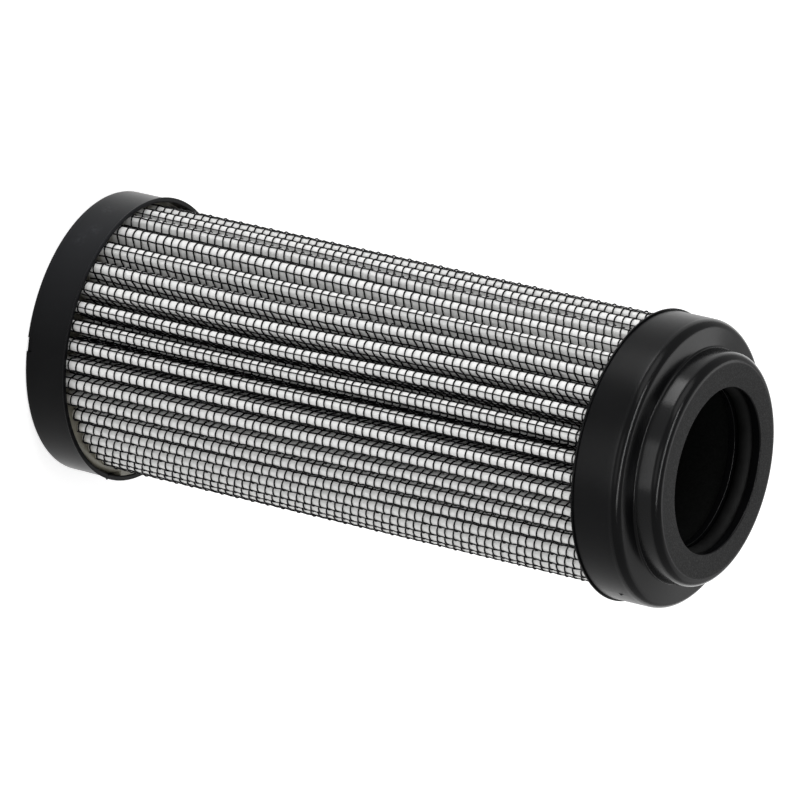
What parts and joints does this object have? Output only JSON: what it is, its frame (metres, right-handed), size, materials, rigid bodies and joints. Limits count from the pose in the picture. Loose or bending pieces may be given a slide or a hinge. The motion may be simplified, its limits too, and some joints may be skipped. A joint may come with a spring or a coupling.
{
  "type": "hydraulic filter element",
  "caption": "Pleated cartridge filter element: glass fibre pack under wire cloth, potted into a closed cap and an open cap with a sealed spigot bore, round a perforated tube.",
  "frame": {"origin": "centre of the closed end cap's outer face, at the bottom of the part", "axes": "+Z along the element's axis, from the closed end cap to the mouth of the open one. +X and +Y lie in the closed face: the gate recess in its edge is on the -Y side"},
  "size_m": [0.0452, 0.0452, 0.111],
  "materials": {
    "black_nylon": "satin moulded, fine grain on the neck's face",
    "nitrile": "smooth, dull",
    "coated_tube": "black coated perforated steel",
    "potting_resin": "cast, uneven, slightly glossy",
    "coated_wire": "epoxy coated wire cloth",
    "white_fleece": "soft non-woven",
    "glass_fibre": "matte fibre mat",
    "seam_adhesive": "cast bead"
  },
  "bodies": {
    "root": {"closed_end_cap": "black_nylon", "open_end_cap": "black_nylon", "bore_seal": "nitrile", "support_tube": "coated_tube", "closed_end_potting": "potting_resin", "open_end_potting": "potting_resin", "outer_mesh": "coated_wire", "outer_fleece": "white_fleece", "filter_media": "glass_fibre", "inner_fleece": "white_fleece", "inner_mesh": "coated_wire", "side_seam": "seam_adhesive"}
  },
  "joints": []
}
